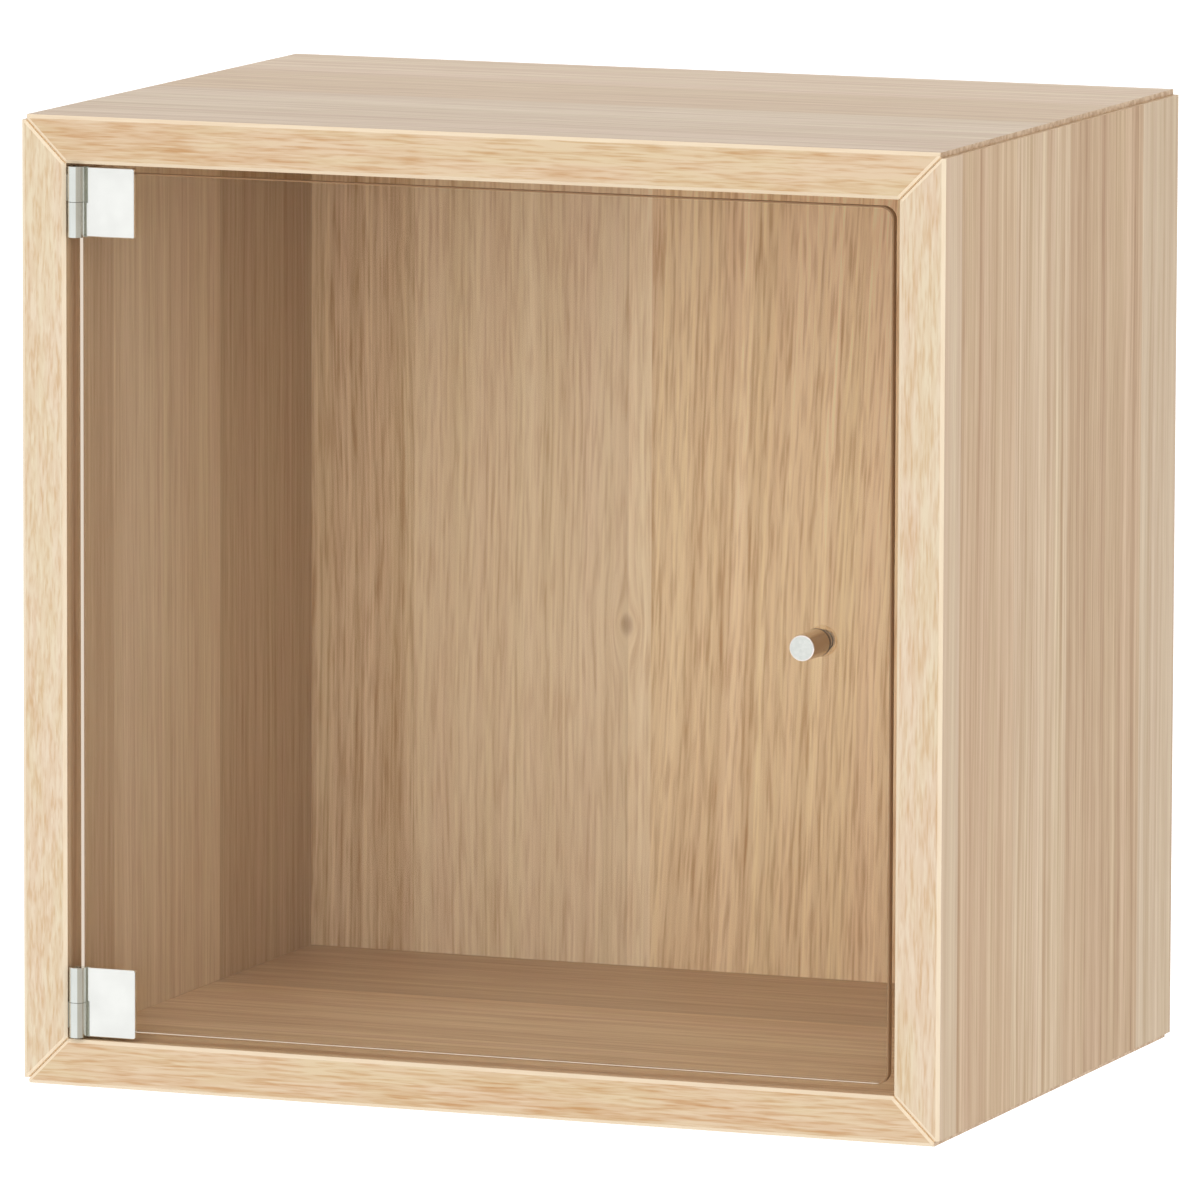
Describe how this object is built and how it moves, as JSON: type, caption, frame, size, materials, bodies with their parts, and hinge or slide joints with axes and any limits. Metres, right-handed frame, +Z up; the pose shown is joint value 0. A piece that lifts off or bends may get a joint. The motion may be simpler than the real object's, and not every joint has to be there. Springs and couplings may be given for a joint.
{
  "type": "wall mounted showcase",
  "caption": "Wall-hung cube showcase: mitred oak-effect frame, inset clear glass door on corner hinges with a turned knob, hung on a steel wall rail.",
  "frame": {"origin": "on the wall, midway between the wall screws of the rail", "axes": "+Z up, -Y out of the wall towards the viewer, +X to the viewer's right"},
  "size_m": [0.35, 0.2622, 0.35],
  "materials": {
    "frame_foil": "matt pale oak-effect foil",
    "back_foil": "matt pale oak-effect foil",
    "dowel_plastic": "moulded",
    "zinc_steel": "zinc plated",
    "cap_plastic": "moulded, foil coloured",
    "nickel": "nickel plated",
    "magnet": "plated",
    "pin_steel": "ground",
    "nylon": "moulded",
    "glass": "clear, polished edges",
    "gasket_rubber": "matt",
    "knob_chrome": "polished",
    "clear_plastic": "clear"
  },
  "bodies": {
    "cabinet": {"top_panel": "frame_foil", "bottom_panel": "frame_foil", "left_side_panel": "frame_foil", "right_side_panel": "frame_foil", "back_board": "back_foil", "wedge_dowels": "dowel_plastic", "wall_rail": "zinc_steel", "left_hanger_bracket": "zinc_steel", "right_hanger_bracket": "zinc_steel", "hanger_screws": "zinc_steel", "hanger_lock_screws": "zinc_steel", "lock_screw_caps": "cap_plastic", "upper_hinge_base": "nickel", "lower_hinge_base": "nickel", "hinge_base_screws": "nickel", "hinge_magnets": "magnet", "hinge_pins": "pin_steel", "hinge_thrust_washers": "nylon"},
    "door": {"glass_door": "glass", "upper_hinge_leaf": "nickel", "lower_hinge_leaf": "nickel", "upper_clamp_plate": "nickel", "lower_clamp_plate": "nickel", "hinge_front_gaskets": "gasket_rubber", "hinge_rear_gaskets": "gasket_rubber", "hinge_clamp_screws": "nickel", "door_knob": "knob_chrome", "knob_gasket": "gasket_rubber", "knob_washer": "clear_plastic", "knob_screw": "nickel"}
  },
  "joints": [
    {"name": "door_hinge", "type": "hinge", "parent": "cabinet", "child": "door", "pos_m": [-0.15395, -0.2493, -0.123], "axis": [0, 0, -1], "range_deg": [0, 110]}
  ]
}
